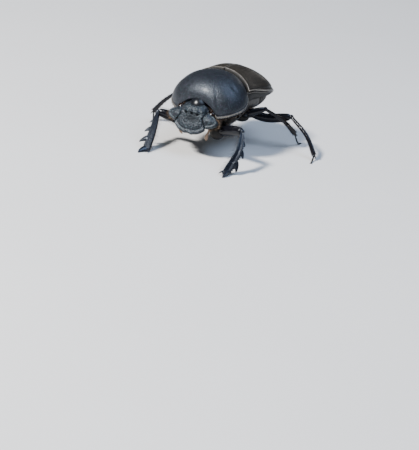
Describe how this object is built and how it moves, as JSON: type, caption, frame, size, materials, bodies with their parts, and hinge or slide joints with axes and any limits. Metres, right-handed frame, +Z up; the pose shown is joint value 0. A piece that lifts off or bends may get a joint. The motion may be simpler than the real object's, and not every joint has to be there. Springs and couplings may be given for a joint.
{
  "type": "dung beetle",
  "caption": "Life-size standing model of a ball-rolling dung beetle with a toothed digging head, a domed neck shield, closed keeled wing cases, toothed front shins and slender rear legs.",
  "frame": {"origin": "on the floor, under the middle of the whole beetle's box", "axes": "+X to the beetle's left, -Y to its front, +Z up"},
  "size_m": [0.048, 0.0474, 0.0206],
  "materials": {
    "head_plate": "rough granular blue-black horn",
    "neck_shield": "satin charcoal-black horn with a faint blue sheen and a fine speckled grain",
    "wing_case": "satin brown-black horn with faint long grooves",
    "underside": "black horn, sparsely haired",
    "leg": "glossy black horn",
    "eye": "glossy dark brown",
    "feeler": "satin light brown"
  },
  "bodies": {
    "root": {"head": "head_plate", "eye_left": "eye", "eye_right": "eye", "antenna_left": "feeler", "antenna_right": "feeler", "palp_left": "feeler", "palp_right": "feeler", "neck": "leg", "pronotum": "neck_shield", "prosternum": "underside", "elytron_left": "wing_case", "elytron_right": "wing_case", "metathorax": "underside", "abdomen": "underside", "pygidium": "underside", "coxa_front_left": "leg", "femur_front_left": "leg", "tibia_front_left": "leg", "coxa_front_right": "leg", "femur_front_right": "leg", "tibia_front_right": "leg", "coxa_middle_left": "leg", "femur_middle_left": "leg", "tibia_middle_left": "leg", "tarsus_middle_left": "leg", "coxa_middle_right": "leg", "femur_middle_right": "leg", "tibia_middle_right": "leg", "tarsus_middle_right": "leg", "coxa_hind_left": "leg", "femur_hind_left": "leg", "tibia_hind_left": "leg", "tarsus_hind_left": "leg", "coxa_hind_right": "leg", "femur_hind_right": "leg", "tibia_hind_right": "leg", "tarsus_hind_right": "leg"}
  },
  "joints": []
}
